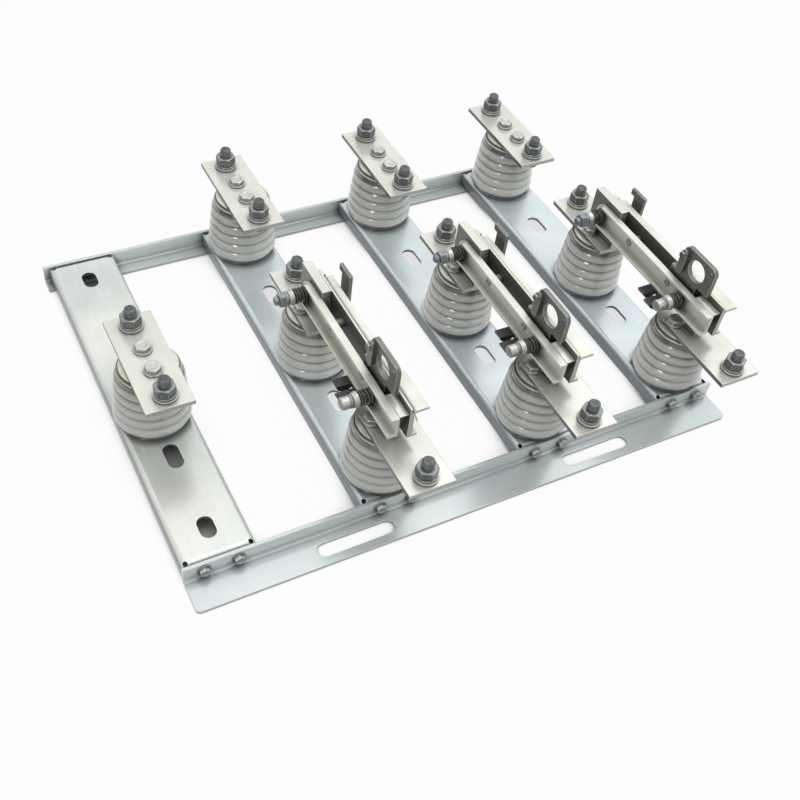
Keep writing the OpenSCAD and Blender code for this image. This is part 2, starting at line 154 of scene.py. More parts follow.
def piece(name, skins, body, material, replaced=(), marks=None):
    """One object from several skins, in metres, with a finish and a body to ride on.

    The marks are one number for each point, which the finish can read by name.
    """
    counts = np.cumsum([0] + [len(verts) for verts, _ in skins])
    verts = np.vstack([verts for verts, _ in skins]) / MM
    faces = []
    for start, (_, grids) in zip(counts, skins):
        for grid in grids:
            faces += (grid + start).tolist()
    mesh = bpy.data.meshes.new(name)
    mesh.from_pydata(verts.tolist(), [], faces)
    mesh.shade_smooth()
    mesh.set_sharp_from_angle(angle=SHARP_ANGLE)
    mesh.materials.append(material)
    for mark, values in (marks or {}).items():
        layer = mesh.attributes.new(mark, "FLOAT", "POINT")
        layer.data.foreach_set("value", np.asarray(values, np.float32))
    made = bpy.data.objects.new(name, mesh)
    scene.collection.objects.link(made)
    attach(made, body)
    if replaced:
        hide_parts(*replaced)
    print(name, "faces:", len(faces))
    return made


# %% [markdown]
# A metal skin is never one tone. It has slow clouds from the plating bath, a fine grain along the
# rolling or brushing, and small specks of dirt. These could be painted, but noise worked out at
# each point stays sharp close up and never repeats. The finishes share this effect as a node
# group with named sockets, so that each finish only brings its own tones and amounts.

# %% Shared surface effect
def srgb(red, green, blue):
    """A screen colour, 0 to 255, as the linear colour that a shader takes."""
    c = np.array([red, green, blue]) / 255.0
    linear = np.where(c <= 0.04045, c / 12.92, ((c + 0.055) / 1.055) ** 2.4)
    return (*linear.tolist(), 1.0)


def add_node(tree, kind, inputs=None, **settings):
    """A node with its settings and the plain values of its sockets."""
    made = tree.nodes.new(kind)
    for key, value in settings.items():
        setattr(made, key, value)
    for key, value in (inputs or {}).items():
        made.inputs[key].default_value = value
    return made


def surface_group():
    """Clouds pull the tone to the shade, the grain lifts it to the bloom, and specks darken it."""
    tree = bpy.data.node_groups.new("plated skin", "ShaderNodeTree")
    face = tree.interface
    face.new_socket("Place", in_out="INPUT", socket_type="NodeSocketVector")
    face.new_socket("Grain Place", in_out="INPUT", socket_type="NodeSocketVector")
    for name in ("Tone", "Shade", "Bloom", "Speck"):
        face.new_socket(name, in_out="INPUT", socket_type="NodeSocketColor")
    for name in ("Cloud Scale", "Cloud Amount", "Grain Amount", "Speck Scale", "Speck Amount"):
        face.new_socket(name, in_out="INPUT", socket_type="NodeSocketFloat")
    for name in ("Rough Low", "Rough High"):
        face.new_socket(name, in_out="INPUT", socket_type="NodeSocketFloat")
    face.new_socket("Color", in_out="OUTPUT", socket_type="NodeSocketColor")
    face.new_socket("Roughness", in_out="OUTPUT", socket_type="NodeSocketFloat")
    face.new_socket("Height", in_out="OUTPUT", socket_type="NodeSocketFloat")
    source = tree.nodes.new("NodeGroupInput").outputs
    sink = tree.nodes.new("NodeGroupOutput").inputs
    wire = tree.links.new
    clouds = add_node(tree, "ShaderNodeTexNoise", {"Detail": 5.0, "Roughness": 0.55})
    grain = add_node(tree, "ShaderNodeTexNoise", {"Scale": 1.0, "Detail": 3.0, "Roughness": 0.6})
    specks = add_node(tree, "ShaderNodeTexNoise", {"Detail": 2.0})
    wire(source["Place"], clouds.inputs["Vector"])
    wire(source["Cloud Scale"], clouds.inputs["Scale"])
    wire(source["Grain Place"], grain.inputs["Vector"])
    wire(source["Place"], specks.inputs["Vector"])
    wire(source["Speck Scale"], specks.inputs["Scale"])
    cloud_mask = add_node(tree, "ShaderNodeMapRange", {"From Min": 0.32, "From Max": 0.68})
    grain_mask = add_node(tree, "ShaderNodeMapRange", {"From Min": 0.35, "From Max": 0.7})
    speck_mask = add_node(tree, "ShaderNodeMapRange", {"From Min": 0.66, "From Max": 0.78})
    for texture, mask in ((clouds, cloud_mask), (grain, grain_mask), (specks, speck_mask)):
        wire(texture.outputs["Fac"], mask.inputs["Value"])
    color = source["Tone"]
    steps = ((cloud_mask, "Cloud Amount", "Shade"), (grain_mask, "Grain Amount", "Bloom"))
    for mask, amount, tint in steps + ((speck_mask, "Speck Amount", "Speck"),):
        share = add_node(tree, "ShaderNodeMath", operation="MULTIPLY")
        mix = add_node(tree, "ShaderNodeMix", data_type="RGBA")
        wire(mask.outputs[0], share.inputs[0])
        wire(source[amount], share.inputs[1])
        wire(share.outputs[0], mix.inputs[0])
        wire(color, mix.inputs[6])
        wire(source[tint], mix.inputs[7])
        color = mix.outputs[2]
    wire(color, sink["Color"])
    rough = add_node(tree, "ShaderNodeMix", data_type="FLOAT")
    blend = add_node(tree, "ShaderNodeMath", operation="MULTIPLY_ADD")
    blend.inputs[1].default_value = 0.5
    half = add_node(tree, "ShaderNodeMath", {1: 0.5}, operation="MULTIPLY")
    wire(clouds.outputs["Fac"], half.inputs[0])
    wire(grain.outputs["Fac"], blend.inputs[0])
    wire(half.outputs[0], blend.inputs[2])
    wire(blend.outputs[0], rough.inputs[0])
    wire(source["Rough Low"], rough.inputs[2])
    wire(source["Rough High"], rough.inputs[3])
    wire(rough.outputs[0], sink["Roughness"])
    wire(grain.outputs["Fac"], sink["Height"])
    return tree


plated_skin = surface_group()
print("shared effect sockets:", len(plated_skin.interface.items_tree))

# %% [markdown]
# Sheet and bar are cut and folded, so their edges are a little round. The edges could be bevelled
# in the mesh, but the solids stay as they came, so a second shared effect does it: it rounds the
# normal within a small radius of an edge, and where the rounded normal leaves the flat one, its
# mask marks the edge for a painted highlight. A second mask marks tight corners, the places that
# see little of their surroundings, for a painted shade.

# %% Shared edge effect
def edge_group():
    """The mask is one minus the cosine between the plain and the rounded normal, stretched."""
    tree = bpy.data.node_groups.new("painted edge highlight and corner shade", "ShaderNodeTree")
    face = tree.interface
    face.new_socket("Radius", in_out="INPUT", socket_type="NodeSocketFloat")
    face.new_socket("Corner Reach", in_out="INPUT", socket_type="NodeSocketFloat")
    face.new_socket("Mask", in_out="OUTPUT", socket_type="NodeSocketFloat")
    face.new_socket("Corner Shade", in_out="OUTPUT", socket_type="NodeSocketFloat")
    face.new_socket("Normal", in_out="OUTPUT", socket_type="NodeSocketVector")
    source = tree.nodes.new("NodeGroupInput").outputs
    sink = tree.nodes.new("NodeGroupOutput").inputs
    wire = tree.links.new
    rounded = add_node(tree, "ShaderNodeBevel", samples=4)
    plain = add_node(tree, "ShaderNodeNewGeometry")
    cosine = add_node(tree, "ShaderNodeVectorMath", operation="DOT_PRODUCT")
    # Painted highlight: this mask marks the edges, which the finish lifts to a bright tint.
    mask = add_node(tree, "ShaderNodeMapRange", {"From Min": 0.995, "From Max": 0.85})
    # Painted shade: where ambient occlusion finds things near, this mask darkens the corners.
    corner = add_node(tree, "ShaderNodeAmbientOcclusion", samples=8)
    corner_shade = add_node(tree, "ShaderNodeMapRange", {"From Min": 0.85, "From Max": 0.3})
    wire(source["Corner Reach"], corner.inputs["Distance"])
    wire(corner.outputs["AO"], corner_shade.inputs["Value"])
    wire(corner_shade.outputs[0], sink["Corner Shade"])
    wire(source["Radius"], rounded.inputs["Radius"])
    wire(rounded.outputs["Normal"], cosine.inputs[0])
    wire(plain.outputs["Normal"], cosine.inputs[1])
    wire(cosine.outputs["Value"], mask.inputs["Value"])
    wire(mask.outputs[0], sink["Mask"])
    wire(rounded.outputs["Normal"], sink["Normal"])
    return tree


edge_light_and_shade = edge_group()
print("edge effect sockets:", len(edge_light_and_shade.interface.items_tree))

# %% [markdown]
# A finish is a Principled shader fed by the shared effects. The grain's direction is set by a
# Mapping node that squeezes the pattern across the grain. What is the same all over, such as how
# metallic the skin is, stays on the shader's own socket. On top lie layers of tint, each with its
# own mask, and these are painted light and shade: upright faces and faces that look one way get a
# painted lighter or darker tone, some pieces carry a mark for each point, such as how deep it lies
# in a hollow, for a painted shade, corners get a painted shade, and edges get a painted highlight.

# %% The finish function
SKIN = {
    "Cloud Scale": 20.0, "Cloud Amount": 0.5, "Grain Amount": 0.3, "Speck Scale": 900.0,
    "Speck Amount": 0.15, "Rough Low": 0.3, "Rough High": 0.5,
}
EDGE_R, CORNER_REACH = 0.9, 9.0
# Painted shade: the dark tint that the corner mask lays into tight corners.
CORNER_SHADE_TINT = ((34, 36, 32), 0.75)
GRAIN_STRENGTH, COAT_ROUGHNESS = 0.35, 0.05
UPRIGHT_LEAN = {"From Min": 0.75, "From Max": 0.25}
FACING_TURN = {"From Min": 0.5, "From Max": 0.9}


def finish(name, tones, grain, metallic, bump, skin=None, coat=0.0, edge=None, hollow_shade=None,
           upright=None, corner=CORNER_REACH, facing=()):
    """Tones are the plain, the shaded, the bright and the speck colour of the skin.

    The edge is a colour and its share along the edges, a painted highlight. The mark tint is a
    mark's name, a colour and its share where the mark is 1, a painted shade in the hollows. The
    upright is a colour and its share on upright faces, a painted light or shade. The corner is how
    far, in millimetres, something has to be near for the painted corner shade to darken a face. Each
    facing is a direction, with a colour and its share on the faces that look that way, a painted
    light or shade.
    """
    made = bpy.data.materials.new(name)
    made.use_nodes = True
    tree = made.node_tree
    wire = tree.links.new
    shader = tree.nodes["Principled BSDF"]
    shader.inputs["Metallic"].default_value = metallic
    shader.inputs["Coat Weight"].default_value = coat
    shader.inputs["Coat Roughness"].default_value = COAT_ROUGHNESS
    place = add_node(tree, "ShaderNodeTexCoord")
    squeeze = add_node(tree, "ShaderNodeMapping", {"Scale": grain})
    effect = add_node(tree, "ShaderNodeGroup", node_tree=plated_skin)
    for socket, tone in zip(("Tone", "Shade", "Bloom", "Speck"), tones):
        effect.inputs[socket].default_value = srgb(*tone)
    for socket, value in {**SKIN, **(skin or {})}.items():
        effect.inputs[socket].default_value = value
    wire(place.outputs["Object"], squeeze.inputs["Vector"])
    wire(place.outputs["Object"], effect.inputs["Place"])
    wire(squeeze.outputs["Vector"], effect.inputs["Grain Place"])
    grain_depth = {"Strength": GRAIN_STRENGTH, "Distance": bump / MM}
    relief = add_node(tree, "ShaderNodeBump", grain_depth)
    layers = []
    # Painted light and shade: upright faces take a lighter or darker tone of their own.
    if upright:
        axes = add_node(tree, "ShaderNodeSeparateXYZ")
        lean = add_node(tree, "ShaderNodeMath", operation="ABSOLUTE")
        upright_mask = add_node(tree, "ShaderNodeMapRange", UPRIGHT_LEAN)
        wire(place.outputs["Normal"], axes.inputs[0])
        wire(axes.outputs["Z"], lean.inputs[0])
        wire(lean.outputs[0], upright_mask.inputs["Value"])
        layers.append((upright_mask.outputs[0], *upright))
    # Painted light and shade: faces that look one way take a lighter or darker tone.
    for direction, *tint in facing:
        look = add_node(tree, "ShaderNodeVectorMath", {1: direction}, operation="DOT_PRODUCT")
        turned = add_node(tree, "ShaderNodeMapRange", FACING_TURN)
        wire(place.outputs["Normal"], look.inputs[0])
        wire(look.outputs["Value"], turned.inputs["Value"])
        layers.append((turned.outputs[0], *tint))
    # Painted shade: the mark darkens the points that lie deep in a hollow.
    if hollow_shade:
        mark = add_node(tree, "ShaderNodeAttribute", attribute_name=hollow_shade[0])
        layers.append((mark.outputs["Fac"], *hollow_shade[1:]))
    # Painted shade in the corners and a painted highlight along the edges.
    if edge:
        sizes = {"Radius": EDGE_R / MM, "Corner Reach": corner / MM}
        rim = add_node(tree, "ShaderNodeGroup", sizes, node_tree=edge_light_and_shade)
        layers += [(rim.outputs["Corner Shade"], *CORNER_SHADE_TINT), (rim.outputs["Mask"], *edge)]
        wire(rim.outputs["Normal"], relief.inputs["Normal"])
    color = effect.outputs["Color"]
    for mask, tint, share in layers:
        amount = add_node(tree, "ShaderNodeMath", {1: share}, operation="MULTIPLY")
        mix = add_node(tree, "ShaderNodeMix", {7: srgb(*tint)}, data_type="RGBA")
        wire(mask, amount.inputs[0])
        wire(amount.outputs[0], mix.inputs[0])
        wire(color, mix.inputs[6])
        color = mix.outputs[2]
    wire(color, shader.inputs["Base Color"])
    wire(effect.outputs["Roughness"], shader.inputs["Roughness"])
    wire(effect.outputs["Height"], relief.inputs["Height"])
    wire(relief.outputs["Normal"], shader.inputs["Normal"])
    return made


print("values of a plain skin:", len(SKIN))

# %% [markdown]
# Rails and channels are folded sheet with a zinc skin. Grey paint would show nothing of the
# posts, and full metal too much, so it is part metal and fairly smooth, with wide clouds. The
# neutral channel is a warmer grey than the others. The channels' sides get a painted shade, the
# rails' upright legs a painted light that makes them the lightest faces, and all edges a painted
# highlight.

# %% Zinc on the sheet
ALONG_X, ALONG_Y = (30.0, 900.0, 900.0), (900.0, 30.0, 900.0)
# Painted highlight: the bright tint laid along edges.
RIM_HIGHLIGHT = ((246, 247, 243), 0.6)
zinc_skin = {
    "Cloud Scale": 11.0, "Cloud Amount": 0.75, "Grain Amount": 0.22,
    "Rough Low": 0.14, "Rough High": 0.34,
}
rail_tones = ((192, 200, 200), (164, 178, 182), (216, 221, 219), (140, 146, 144))
# Painted light: the rails' upright legs take a lighter tone.
zinc_rail = finish(
    "zinc on the rails", rail_tones, ALONG_X, 0.3, 0.03, {**zinc_skin, "Cloud Amount": 0.4},
    edge=RIM_HIGHLIGHT, upright=((236, 243, 243), 0.9))
channel_tones = {
    "neutral": ((216, 218, 211), (176, 185, 186), (234, 235, 230), (144, 150, 148)),
    "pole": ((216, 224, 226), (172, 187, 194), (236, 240, 240), (146, 154, 156)),
}
# Painted shade: the channels' upright sides take a dark tone.
zinc_channels = {
    key: finish(f"zinc on the {key} channels", tones, ALONG_Y, 0.42, 0.03, zinc_skin,
                edge=RIM_HIGHLIGHT, upright=((90, 99, 104), 0.8))
    for key, tones in channel_tones.items()}
print("zinc finishes:", 1 + len(zinc_channels))

# %% [markdown]
# Bars and blades are copper under a pale, warm plating. The bars' upright faces get a painted
# shade, darkest on their left sides and lightest on their front ends. The faces between the blades
# get a painted shade, the left blades' upright faces a painted light that makes their outer webs
# nearly as light as the flanges, and the right blades' upright faces a painted shade, with painted
# corner shade reaching further. Each face could have its own material, but a tint by the way that
# a face looks needs no cutting up of the solids.

# %% Plating on bars and blades
bar_tones = ((213, 214, 205), (186, 187, 177), (235, 235, 229), (132, 129, 118))
bar_skin = {
    "Cloud Scale": 26.0, "Cloud Amount": 0.5, "Grain Amount": 0.18,
    "Rough Low": 0.2, "Rough High": 0.32,
}
# Painted shade on the bars' upright faces, darkest on the left sides, lighter on the front ends.
bar_plating = finish(
    "warm plating on the bars", bar_tones, ALONG_Y, 0.4, 0.012, bar_skin,
    edge=RIM_HIGHLIGHT, upright=((122, 123, 112), 0.7),
    facing=[((-1, 0, 0), (64, 65, 58), 0.6), ((0, -1, 0), (186, 188, 180), 0.8)])
blade_tones = ((216, 216, 206), (180, 180, 168), (236, 236, 228), (116, 112, 100))
blade_skin = {"Cloud Scale": 34.0, "Cloud Amount": 0.6}
# Painted light on the left blades' upright faces, painted shade on the right blades' ones.
left_web, right_web = ((230, 230, 216), 0.75), ((172, 173, 158), 0.6)
blade_sides = (("left", 1, CORNER_REACH, left_web), ("right", -1, 18.0, right_web))
# Painted shade on the blade faces that look towards the other blade.
blade_platings = {
    side: finish(f"warm plating on the {side} blades", blade_tones, ALONG_Y, 0.4, 0.03, blade_skin,
                 edge=((250, 250, 246), 0.85), upright=web, corner=reach,
                 facing=[((inward, 0, 0), (66, 66, 59), 0.7)])
    for side, inward, reach, web in blade_sides}
print("blade finishes:", len(blade_platings))

# %% [markdown]
# The posts are glazed. A pale colour alone would look like chalk, so there is a clear coat over
# the pale body, which gives small sharp glints, and a painted shade in the hollows. Their caps are
# turned and plated, with a painted shade in the groove.

# %% Glaze and caps
EVEN = (600.0, 600.0, 600.0)
glaze_tones = ((216, 217, 212), (198, 200, 194), (231, 232, 228), (160, 158, 150))
glaze_skin = {
    "Cloud Scale": 35.0, "Speck Scale": 700.0, "Speck Amount": 0.1,
    "Rough Low": 0.1, "Rough High": 0.22,
}
# Painted shade: the hollow mark darkens the ribs' hollows and the foot.
porcelain = finish(
    "white glaze", glaze_tones, (60.0, 60.0, 25.0), 0.0, 0.12, glaze_skin,
    coat=0.8, hollow_shade=("hollow", (58, 60, 55), 0.85))
cap_tones = ((204, 203, 192), (150, 148, 134), (232, 231, 222), (96, 92, 80))
# Painted shade: the hollow mark darkens the cap's groove.
cap_plating = finish(
    "turned plating", cap_tones, EVEN, 0.6, 0.03, hollow_shade=("hollow", (60, 60, 52), 0.8))
print("finishes of the posts:", porcelain.name, "and", cap_plating.name)

# %% [markdown]
# Small hardware comes in bright and grey fasteners, dark threads and oiled springs. The pull eyes
# and stops are darkened plate, the claws are black resin, and the dark rings at the posts' feet are
# a painted shade. Upright faces of the fasteners get a painted shade, and edges a painted highlight.
# Each could be a shader of its own, but they differ in tone and gloss only, so one function makes
# them all.

# %% Small hardware
bright_tones = ((188, 191, 188), (146, 149, 147), (226, 227, 224), (80, 79, 74))
# Painted shade on upright faces and a painted highlight along edges.
bright_steel = finish(
    "bright fasteners", bright_tones, EVEN, 0.6, 0.03,
    {"Rough Low": 0.22, "Rough High": 0.4, "Cloud Scale": 90.0},
    edge=RIM_HIGHLIGHT, upright=((112, 114, 111), 0.6))
grey_tones = ((142, 147, 149), (90, 95, 98), (190, 195, 196), (46, 47, 46))
# Painted shade on upright faces and a painted highlight along edges.
bolt_steel = finish(
    "grey fasteners", grey_tones, EVEN, 0.55, 0.04,
    {"Rough Low": 0.24, "Rough High": 0.42, "Cloud Scale": 110.0},
    edge=((222, 226, 226), 0.6), upright=((62, 66, 68), 0.7))
thread_tones = ((74, 77, 79), (44, 46, 48), (150, 154, 156), (24, 24, 24))
# Painted highlight along the thread's edges.
thread_steel = finish(
    "dark threads", thread_tones, EVEN, 0.55, 0.04, {"Rough Low": 0.24, "Rough High": 0.42},
    edge=((196, 200, 200), 0.6))
spring_tones = ((70, 70, 67), (36, 36, 34), (140, 140, 135), (12, 12, 12))
spring_steel = finish(
    "oiled spring wire", spring_tones, EVEN, 0.7, 0.03, {"Rough Low": 0.2, "Rough High": 0.36})
dark_tones = ((116, 118, 112), (72, 74, 70), (164, 166, 160), (34, 34, 33))
# Painted highlight along edges.
dark_steel = finish(
    "darkened plate", dark_tones, EVEN, 0.5, 0.04, {"Cloud Scale": 60.0},
    edge=((222, 224, 218), 0.9))
resin_tones = ((30, 32, 33), (16, 17, 18), (66, 70, 72), (80, 80, 76))
# Painted highlight along edges.
black_resin = finish(
    "black resin", resin_tones, EVEN, 0.0, 0.06, {"Rough Low": 0.28, "Rough High": 0.5},
    edge=((112, 116, 118), 0.6))
# Painted shade: a dark tint for the rings that stand for the shadow line at the posts' feet.
foot_shadow_tones = ((62, 64, 62), (40, 42, 41), (86, 88, 86), (30, 30, 30))
foot_shadow_finish = finish(
    "painted foot shadow", foot_shadow_tones, EVEN, 0.0, 0.08, {"Rough Low": 0.6, "Rough High": 0.8})
print("finishes:", len([m for m in bpy.data.materials if m.use_nodes]))

# %% [markdown]
# The solids that stay in view take their finish straight away: a finish goes into the first
# material slot of the solid's mesh, and the solid itself isn't touched. The start of a solid's
# name says what it is made of, and whatever isn't listed is a fastener.

# %% Finishes on the solids
def coat_solid(name, made):
    """The solid's only material slot holds the finish."""
    mesh = nodes[name].data
    mesh.materials.clear()
    mesh.materials.append(made)


coats = {
    "front_rail": zinc_rail, "rear_rail": zinc_rail, "channel_neutral": zinc_channels["neutral"],
    "channel_pole": zinc_channels["pole"], "insulator": porcelain, "post_caps": porcelain,
    "hinge_terminal": bar_plating, "contact_terminal": bar_plating, "rear_bar": bar_plating,
    "neutral_bar": bar_plating, "blade_left": blade_platings["left"],
    "blade_right": blade_platings["right"], "blade_spacers": blade_platings["right"],
    "claw": black_resin, "pull_eye": dark_steel, "latch_arm": dark_steel,
    "opening_stop": dark_steel,
}
for name in nodes:
    fits = [made for start, made in coats.items() if name.startswith(start)]
    coat_solid(name, fits[0] if fits else bolt_steel)
print("solids coated:", len(nodes))

# %% [markdown]
# The posts are turned shapes with five soft ribs. They could be stacks of round rings, but glaze
# fills the hollows and rings would meet in sharp lines. So each rib is a circle in the profile,
# and a smooth maximum joins them: far from a hollow it is the circle itself, and in the hollow it
# blends one rib into the next. A painted shade darkens the hollows and the foot, so each point is
# marked with how far it lies behind the crests.

# %% Ribbed posts
RIBS, RIB_STEP, RIB_END, RIB_R = 5, 0.9, 9.0, 6.4
GLAZE, FOOT_BACK = 0.35, 3.2
POST_ROWS, POST_STEPS = 110, 80
HOLLOW_DEEP, HOLLOW_BIAS = 2.4, 1.6


def lathe(profile, steps=64):
    """Each profile point (radius, height) runs once round the upright axis."""
    angle = np.linspace(0, 2 * np.pi, steps, endpoint=False)[None, :]
    radius, height = np.asarray(profile, float).T[..., None]
    return np.stack(
        [radius * np.cos(angle), radius * np.sin(angle), height + 0 * angle], -1)


def post_profile(diameter, height):
    """Radius at each height: the smooth maximum of the ribs' circles and of the core behind them.

    The ribs step in towards the top. The end ribs lie RIB_END from the foot and from the top, and
    the core lies FOOT_BACK behind the line of crests.
    """
    z = np.linspace(0.0, height, POST_ROWS)
    k = np.arange(RIBS)[:, None]
    centre = diameter / 2 - RIB_R - k * RIB_STEP
    level = RIB_END + k * (height - 2 * RIB_END) / (RIBS - 1)
    reach = np.sqrt(np.maximum(RIB_R ** 2 - (z[None] - level) ** 2, 0.0))
    core = diameter / 2 - FOOT_BACK - RIB_STEP * (RIBS - 1) * z / height
    ribs = np.vstack([np.where(reach > 0, centre + reach, core[None]), core])
    radius = np.log(np.exp((ribs - core) / GLAZE).sum(0)) * GLAZE + core
    return np.column_stack([np.minimum(radius, diameter / 2), z])


def hollow_marks(profile, steps):
    """How far each point lies behind the line from the lowest to the highest crest, up to 1."""
    radius, height = profile.T
    crest = radius.max() - RIB_STEP * (RIBS - 1) * height / height.max()
    depth = np.clip((crest - radius) / HOLLOW_DEEP, 0, 1) ** HOLLOW_BIAS
    return np.concatenate([np.repeat(depth, steps), [1.0, 1.0]])


low, high = box_mm("insulator_neutral")
post_d = high[0] - low[0]
outline = post_profile(post_d, high[2] - low[2])
for name, places in post_rows.items():
    skins = [put(shell(lathe(outline, POST_STEPS)), (x, y, channel_top)) for x, y in places]
    # Painted shade: this mark darkens the hollows and the foot in the glaze.
    hollow = np.tile(hollow_marks(outline, POST_STEPS), len(places))
    piece(name.replace("insulator", "ribbed_post"), skins, "frame", porcelain,
          [name], {"hollow": hollow})

# %% [markdown]
# A thin dark ring lies under each post, a painted shade for the shadow line at the post's foot,
# and a turned metal cap sits on top of the post. The cap has a rim, a groove over the rim and a
# soft edge, which catch the light as lines round the post. A plain disc would lose them, so both
# are profiles that run once round the post's axis, as on a lathe.

# %% Foot shadow rings and caps
all_posts = [place for places in post_rows.values() for place in places]
foot_r = post_d / 2 - FOOT_BACK
# Painted shade: a dark ring that stands for the shadow line at each post's foot.
foot_shadow_ring = np.array([
    (foot_r - 4.0, 0.1), (foot_r + 0.4, 0.1), (foot_r + 0.8, 0.5), (foot_r + 0.4, 0.9),
    (foot_r - 4.0, 0.9)])
piece("post_foot_shadows", [put(shell(lathe(foot_shadow_ring)), (x, y, channel_top)) for x, y in all_posts],
      "frame", foot_shadow_finish)

cap_low, cap_high = box_mm("post_caps")
cap_h = cap_high[2] - cap_low[2]
cap_r = cap_high[0] - channel_x[3]
CAP_STEPS, GROOVE_ROWS = 72, (4, 5, 6, 7)
cap_outline = np.array([
    (cap_r - 0.6, 0.0), (cap_r - 0.1, 0.4), (cap_r, 1.0), (cap_r - 0.1, 1.7),
    (cap_r - 0.8, 2.1), (cap_r - 2.0, 2.2), (cap_r - 2.2, 2.6), (cap_r - 2.0, 3.2),
    (cap_r - 1.9, cap_h - 0.7), (cap_r - 2.2, cap_h - 0.2),
    (cap_r - 2.9, cap_h), (cap_r - 9.0, cap_h)])
cap_skins = [put(shell(lathe(cap_outline, CAP_STEPS)), (x, y, cap_low[2])) for x, y in all_posts]
in_groove = np.isin(np.arange(len(cap_outline)), GROOVE_ROWS)
groove = np.concatenate([np.repeat(in_groove, CAP_STEPS), [0, 0]])
piece("turned_caps", cap_skins, "frame", cap_plating, ["post_caps"],
      {"hollow": np.tile(groove, len(all_posts))})

# %% [markdown]
# Fasteners show everywhere on this switch. Six-sided blocks would pass from afar, but the light
# catches the turned corners and the threads, so they get their true forms. A hexagon's radius is
# half its width over flats divided by the cosine of the angle to the nearest flat, and the
# corners are turned off by a cone. A thread is a cylinder whose radius swings once per pitch,
# along a helix.

# %% Hexagons, threads and washers
CONE = math.tan(math.radians(60))
FACE_SHARE, CHAMFER_SHARE, DISH_SHARES, PLAIN_LIP = 0.95, 0.15, (0.64, 0.56), 0.3
THREAD_SHARE, ROWS_PER_PITCH, END_CHAMFER = 0.6, 8, 1.0
CUT_HALF, SPLIT_ROWS = 0.07, 60


def hexagon(across, low, high, low_turned, high_turned, steps=72, dish=0.0):
    """Radius is half the flats over the cosine to the nearest flat, in rows from low to high.

    A turned face starts at FACE_SHARE of the flat and opens along a cone. A dish sinks the middle
    of the high face, as on a pressed bolt head.
    """
    angle = np.linspace(0, 2 * np.pi, steps, endpoint=False)
    flat = np.pi / 3
    corner = across / 2 / np.cos((angle + flat / 2) % flat - flat / 2)
    depth = np.linspace(0, CHAMFER_SHARE * across / 2, 5)
    turned = np.minimum(corner[None], FACE_SHARE * across / 2 + CONE * depth[:, None])
    plain = np.repeat(corner[None], 2, 0)
    rows = [(turned, low + depth) if low_turned else (plain, [low, low + PLAIN_LIP])]
    if high_turned:
        rows.append((turned[::-1], high - depth[::-1]))
    else:
        rows.append((plain, [high - PLAIN_LIP, high]))
    if dish:
        inner = across / 2 * np.array(DISH_SHARES)[:, None] + 0 * corner
        rows.append((inner, [high, high - dish]))
    radius = np.vstack([row[0] for row in rows])
    height = np.concatenate([row[1] for row in rows])[:, None]
    return np.stack(
        [radius * np.cos(angle), radius * np.sin(angle), height + 0 * angle], -1)


def thread(diameter, pitch, low, high, steps=36):
    """Radius swings by a share of the pitch, once per pitch and turn. The end is a cone."""
    angle = np.linspace(0, 2 * np.pi, steps, endpoint=False)[None, :]
    height = np.linspace(low, high, int((high - low) / pitch * ROWS_PER_PITCH) + 2)[:, None]
    swing = 0.5 - 0.5 * np.cos(2 * np.pi * height / pitch - angle)
    radius = diameter / 2 - THREAD_SHARE * pitch * swing
    radius = np.minimum(radius, diameter / 2 - END_CHAMFER + (high - height))
    return np.stack(
        [radius * np.cos(angle), radius * np.sin(angle), height + 0 * angle], -1)


def washer(inner, outer, low, high, ease=0.25, steps=56):
    """A flat ring with eased rims: a seven-point profile that runs once round the axis."""
    outline = [(inner, low), (outer - ease, low), (outer, low + ease), (outer, high - ease),
               (outer - ease, high), (inner + ease, high), (inner, high - ease)]
    return ring(lathe(outline, steps))


def split_washer(inner, outer, low, high, rise):
    """A square wire bent once round, with a cut. Its height climbs in step with the turn."""
    turn = np.linspace(CUT_HALF, 2 * np.pi - CUT_HALF, SPLIT_ROWS)[:, None]
    lift = rise * turn / (2 * np.pi)
    section = np.array([(outer, high), (outer, low), (inner, low), (inner, high)])
    radius, height = section[:, 0][None, :], section[:, 1][None, :] + lift
    return shell(np.stack([radius * np.cos(turn), radius * np.sin(turn), height], -1))


print("rows and points round a 12 mm nut:", hexagon(12.0, 0.0, 6.0, True, True).shape[:2])

# %% [markdown]
# A terminal stud is a bolt from below: its head sits under the bar, and a flat washer, a split
# washer and a nut hold it above. The free end of the thread stands clear for a cable lug. One
# mesh could hold it all, but nuts are grey, threads dark and washers bright, so these are three
# pieces. Their sizes are shares of the thread's diameter.

# %% Terminal studs
mounts = {m["name"]: m for m in frame["record"]["mounts"]}
STUD_PITCH, SPLIT_RISE = 1.5, 0.5
NUT_CORNERS, NUT_H, STUD_HEAD_H = 1.83, 0.83, 0.63
STUD_WASHER_T, SPLIT_R = 0.225, 0.88


def stud_skins(x, y, diameter, top):
    """The grey head and nut, the dark thread, and the bright washers under the nut."""
    across = NUT_CORNERS * diameter * math.cos(math.pi / 6)
    washer_t = STUD_WASHER_T * diameter
    nut_low = bar_top + 2 * washer_t
    nut_high = nut_low + NUT_H * diameter
    grey = [
        shell(hexagon(across, bar_low - STUD_HEAD_H * diameter, bar_low, True, False)),
        shell(hexagon(across, nut_low, nut_high, True, True)),
    ]
    dark = [shell(thread(diameter, STUD_PITCH, bar_low - 1.0, top))]
    bore, split_low = diameter / 2 + 0.2, bar_top + washer_t
    bright = [
        washer(bore, diameter, bar_top, split_low),
        split_washer(bore, SPLIT_R * diameter, split_low, nut_low - SPLIT_RISE, SPLIT_RISE),
    ]
    return [[put(skin, (x, y, 0)) for skin in skins] for skins in (grey, dark, bright)]


